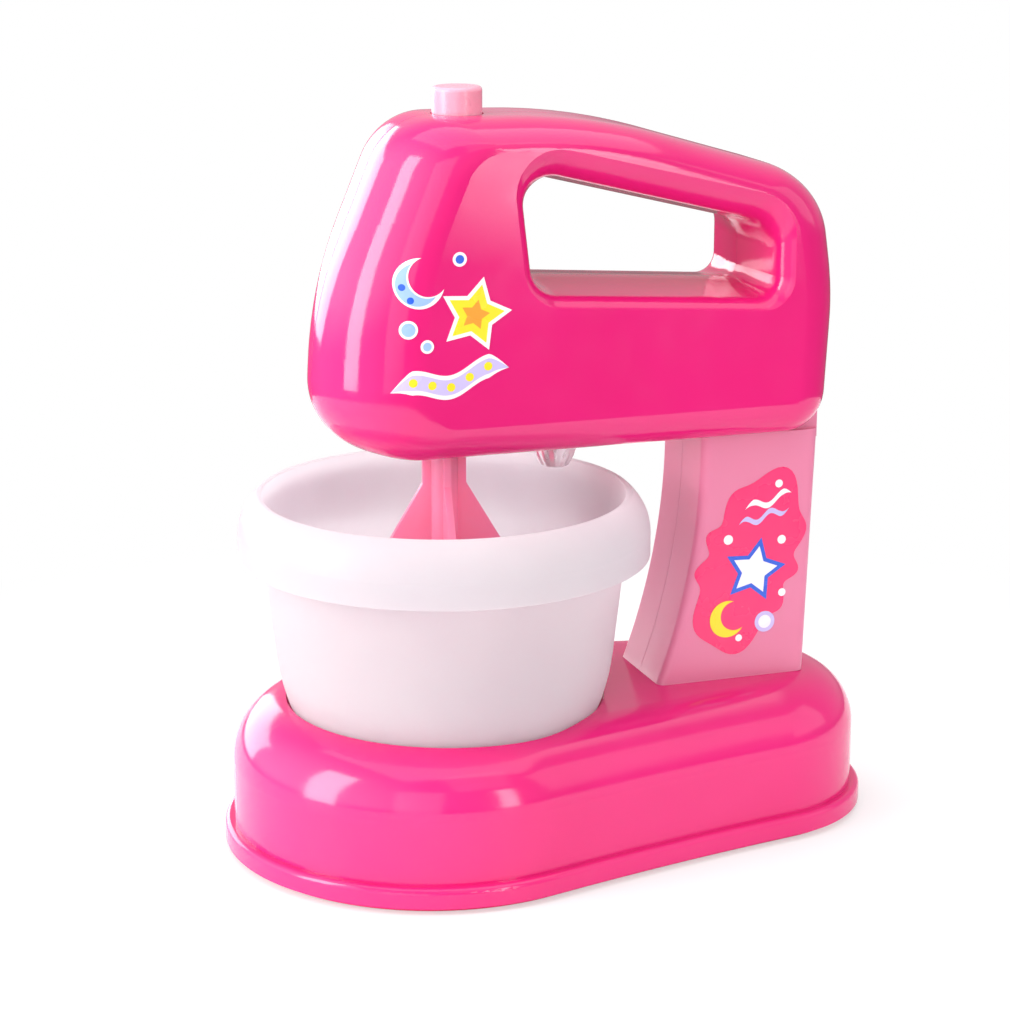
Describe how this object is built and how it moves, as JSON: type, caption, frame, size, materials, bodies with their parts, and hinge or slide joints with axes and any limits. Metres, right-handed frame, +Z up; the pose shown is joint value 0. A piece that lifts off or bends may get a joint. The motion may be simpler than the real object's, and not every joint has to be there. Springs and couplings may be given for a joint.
{
  "type": "toy stand mixer",
  "caption": "Toy stand mixer with a tilting handled head that drives a vaned beater by motor over a loose bowl on a battery base.",
  "frame": {"origin": "centre of the base's footprint, on the surface it stands on", "axes": "+Z up, -X towards the nose of the head, +Y to the mixer's right"},
  "size_m": [0.1462, 0.0926, 0.1641],
  "materials": {
    "shell_pink": "glossy moulded ABS",
    "plate_pink": "plain moulded ABS",
    "column_pink": "glossy moulded ABS",
    "button_pink": "glossy moulded ABS",
    "beater_pink": "satin moulded PP",
    "bowl_white": "satin translucent PP",
    "lens_clear": "clear moulded PS",
    "led_clear": "clear epoxy",
    "board": "bare board",
    "steel": "ground",
    "zinc_steel": "zinc plated",
    "screw_steel": "zinc plated",
    "brass": "turned",
    "gear_white": "moulded POM",
    "switch_black": "moulded",
    "cell": "printed sleeve",
    "contact": "nickel plated"
  },
  "bodies": {
    "stand": {"base_shell": "shell_pink", "base_plate": "plate_pink", "battery_door": "plate_pink", "battery_door_screw": "screw_steel", "battery_cells": "cell", "battery_contacts": "contact", "base_screws": "screw_steel", "column_left": "column_pink", "column_right": "column_pink", "column_screws": "screw_steel", "column_foot_screws": "screw_steel"},
    "head": {"head_left": "shell_pink", "head_right": "shell_pink", "head_screws": "screw_steel", "hinge_pin": "steel", "gearbox_tray": "gear_white", "gearbox_lid": "gear_white", "gearbox_screws": "screw_steel", "spindle_bush": "brass", "idler_axle": "steel", "motor_can": "zinc_steel", "motor_cap": "gear_white", "switch_body": "switch_black", "lamp_lens": "lens_clear", "lamp_board": "board", "lamp_led": "led_clear"},
    "beater": {"beater": "beater_pink", "spindle": "steel", "beater_wheel": "gear_white"},
    "idler": {"compound_wheel": "gear_white"},
    "rotor": {"motor_shaft": "steel", "motor_pinion": "brass"},
    "button": {"button": "button_pink"},
    "bowl": {"bowl": "bowl_white"}
  },
  "joints": [
    {"name": "head_tilt", "type": "hinge", "parent": "stand", "child": "head", "pos_m": [0.0498, 0, 0.0977], "axis": [0, 1, 0], "range_deg": [0, 45]},
    {"name": "beater_spin", "type": "hinge", "parent": "head", "child": "beater", "pos_m": [-0.0244, 0, 0.09], "axis": [0, 0, 1], "continuous": true},
    {"name": "idler_spin", "type": "hinge", "parent": "head", "child": "idler", "pos_m": [-0.0129, 0, 0.1], "axis": [0, 0, 1], "continuous": true},
    {"name": "motor_spin", "type": "hinge", "parent": "head", "child": "rotor", "pos_m": [-0.0244, 0, 0.12], "axis": [0, 0, 1], "continuous": true},
    {"name": "button_press", "type": "slide", "parent": "head", "child": "button", "axis": [0, 0, -1], "range_m": [0, 0.0025], "stiffness_N_per_m": 300, "springref_m": -0.002},
    {"name": "bowl_lift", "type": "slide", "parent": "stand", "child": "bowl", "axis": [0, 0, 1], "range_m": [0, 0.008]}
  ],
  "couplings": [
    {"joint": "idler_spin", "follows": "beater_spin", "ratio": -3.6},
    {"joint": "motor_spin", "follows": "beater_spin", "ratio": 12.96}
  ]
}
